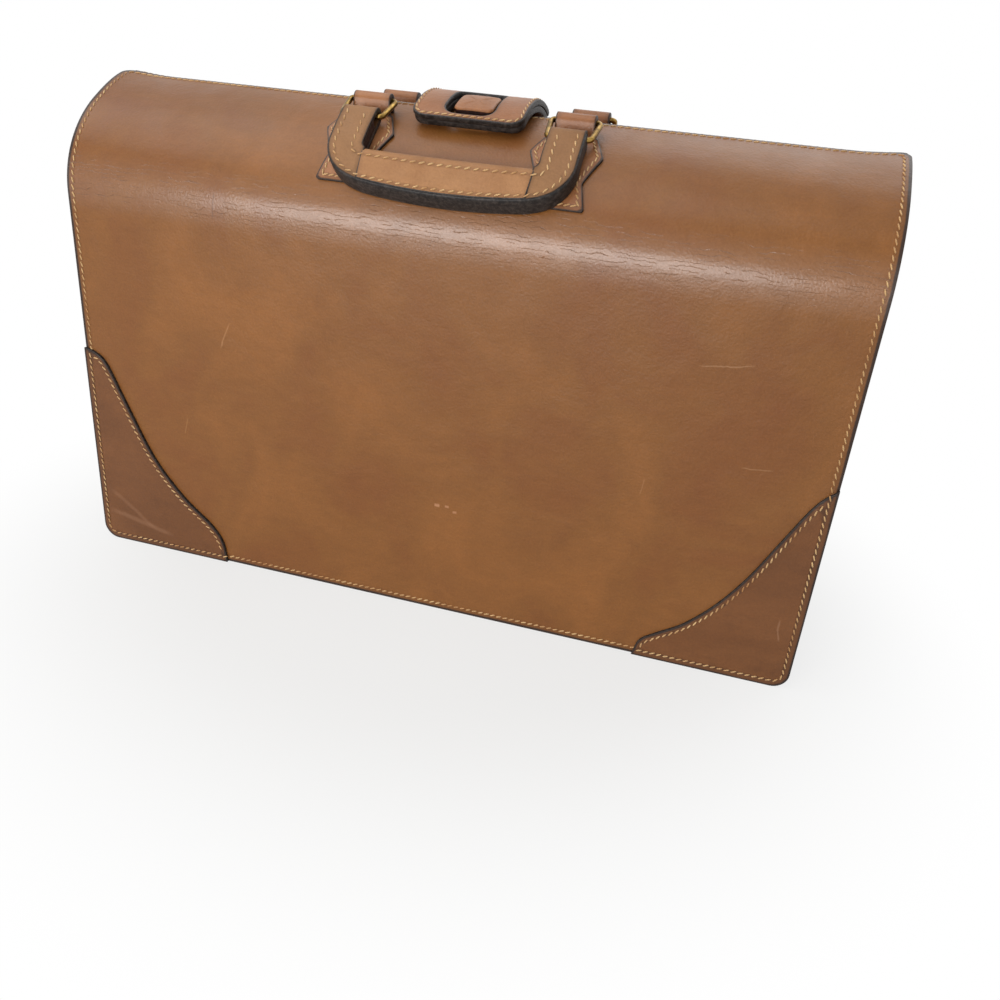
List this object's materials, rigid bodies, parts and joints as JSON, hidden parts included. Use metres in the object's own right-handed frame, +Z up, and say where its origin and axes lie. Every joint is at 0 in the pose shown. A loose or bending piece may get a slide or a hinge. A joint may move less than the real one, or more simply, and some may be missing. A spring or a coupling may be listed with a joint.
{
  "type": "briefcase",
  "caption": "Top-opening leather briefcase with rounded shoulders, folding end gussets, swinging handles on brass rings and a slotted closing tab.",
  "frame": {"origin": "middle of the case's underside, on the surface that it stands on", "axes": "+X along the case's width, +Y through its depth towards the front half, +Z up"},
  "size_m": [0.42, 0.1374, 0.2745],
  "materials": {
    "panel_leather": "waxed saddle leather, satin",
    "patch_leather": "waxed saddle leather, darker, satin",
    "strap_leather": "smooth bridle leather",
    "handle_leather": "smooth bridle leather, handled",
    "filler_leather": "layered leather with burnished black edges",
    "lining_fabric": "split suede",
    "ring_brass": "drawn wire, aged",
    "stay_steel": "flat spring steel",
    "base_board": "pressed fibre board",
    "block_wood": "plain beech"
  },
  "bodies": {
    "back_half": {"back_panel": "panel_leather", "back_lining": "lining_fabric", "back_facing": "panel_leather", "back_stay": "stay_steel", "base_leather": "panel_leather", "base_board": "base_board", "base_lining": "lining_fabric", "gusset_left": "panel_leather", "gusset_right": "panel_leather", "corner_patch_back_left": "patch_leather", "corner_patch_back_right": "patch_leather", "chape_patch_back_left": "patch_leather", "chape_patch_back_right": "patch_leather", "chape_loop_back_left": "strap_leather", "chape_loop_back_right": "strap_leather", "block_core": "block_wood", "block_cover": "handle_leather"},
    "front_half": {"front_panel": "panel_leather", "front_lining": "lining_fabric", "front_facing": "panel_leather", "front_stay": "stay_steel", "corner_patch_front_left": "patch_leather", "corner_patch_front_right": "patch_leather", "chape_patch_front_left": "patch_leather", "chape_patch_front_right": "patch_leather", "chape_loop_front_left": "strap_leather", "chape_loop_front_right": "strap_leather", "tab_anchor": "strap_leather"},
    "back_rings": {"ring_back_left": "ring_brass", "ring_back_right": "ring_brass"},
    "back_handle": {"handle_core_back": "filler_leather", "handle_legs_back": "handle_leather", "grip_wrap_back": "handle_leather"},
    "front_rings": {"ring_front_left": "ring_brass", "ring_front_right": "ring_brass"},
    "front_handle": {"handle_core_front": "filler_leather", "handle_legs_front": "handle_leather", "grip_wrap_front": "handle_leather"},
    "tab": {"tab_upper": "handle_leather", "tab_under": "strap_leather"}
  },
  "joints": [
    {"name": "front_open", "type": "hinge", "parent": "back_half", "child": "front_half", "pos_m": [0, 0.0638, 0], "axis": [-1, 0, 0], "range_deg": [0, 24]},
    {"name": "tab_lift", "type": "hinge", "parent": "front_half", "child": "tab", "pos_m": [0, 0.03426, 0.25701], "axis": [-1, 0, 0], "range_deg": [0, 150]},
    {"name": "back_ring_swing", "type": "hinge", "parent": "back_half", "child": "back_rings", "pos_m": [0, -0.02, 0.2672], "axis": [-1, 0, 0], "range_deg": [0, 114]},
    {"name": "back_handle_swing", "type": "hinge", "parent": "back_rings", "child": "back_handle", "pos_m": [0, -0.03574, 0.26031], "axis": [-1, 0, 0], "range_deg": [0, 38]},
    {"name": "front_ring_swing", "type": "hinge", "parent": "front_half", "child": "front_rings", "pos_m": [0, 0.02, 0.2672], "axis": [1, 0, 0], "range_deg": [0, 114]},
    {"name": "front_handle_swing", "type": "hinge", "parent": "front_rings", "child": "front_handle", "pos_m": [0, 0.03574, 0.26031], "axis": [1, 0, 0], "range_deg": [0, 38]}
  ],
  "couplings": [
    {"joint": "tab_lift", "follows": "front_open", "ratio": 6.25}
  ]
}
